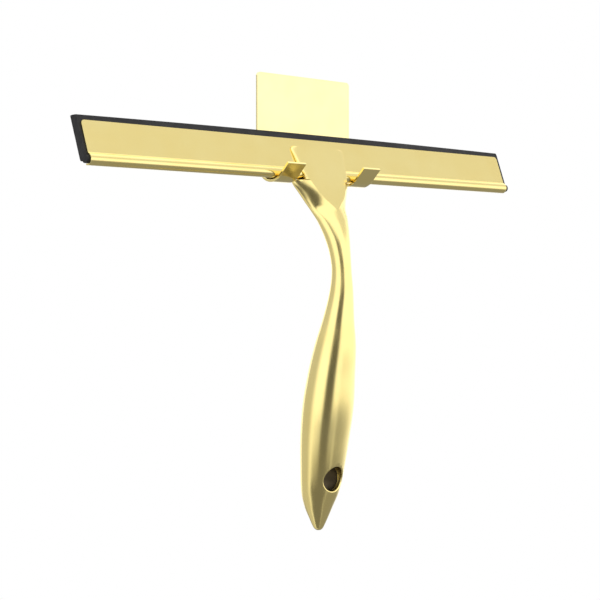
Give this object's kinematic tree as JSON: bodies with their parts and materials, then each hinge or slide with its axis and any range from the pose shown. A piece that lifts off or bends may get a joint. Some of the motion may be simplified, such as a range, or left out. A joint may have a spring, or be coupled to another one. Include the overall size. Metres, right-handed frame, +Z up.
{
  "type": "window squeegee with wall holder",
  "caption": "Gold metal window squeegee with a curved tapering handle and a black rubber blade, hanging by its channel from a stick-on wall plate with hooks.",
  "frame": {"origin": "centre of the adhesive pad's back, on the wall", "axes": "+Z up, +Y into the wall, -Y out towards the user, +X along the blade, to the right as seen from the front"},
  "size_m": [0.309, 0.0359, 0.2405],
  "materials": {
    "gold_polished": "stainless steel with a polished gold coating",
    "gold_brushed": "stainless steel with a satin gold coating",
    "gold_dark": "gold-coated steel tube, darker inside",
    "plain_steel": "bare steel",
    "black_rubber": "matte",
    "foam_tape": "double-sided foam tape, matte"
  },
  "bodies": {
    "wall_holder": {"adhesive_pad": "foam_tape", "holder_plate": "gold_polished", "left_hook": "gold_polished", "right_hook": "gold_polished"},
    "squeegee": {"blade_channel": "gold_brushed", "handle_front_shell": "gold_polished", "handle_rear_shell": "gold_polished", "hang_hole_ferrule": "gold_dark", "neck_core": "plain_steel", "rear_clamp_plate": "gold_brushed", "lock_washers": "plain_steel", "clamp_screws": "plain_steel"},
    "blade": {"rubber_blade": "black_rubber"}
  },
  "joints": [
    {"name": "lift_off", "type": "slide", "parent": "wall_holder", "child": "squeegee", "axis": [0, -0.2588, 0.9659], "range_m": [0, 0.15]},
    {"name": "blade_slide", "type": "slide", "parent": "squeegee", "child": "blade", "axis": [1, 0, 0], "range_m": [0, 0.308]}
  ]
}
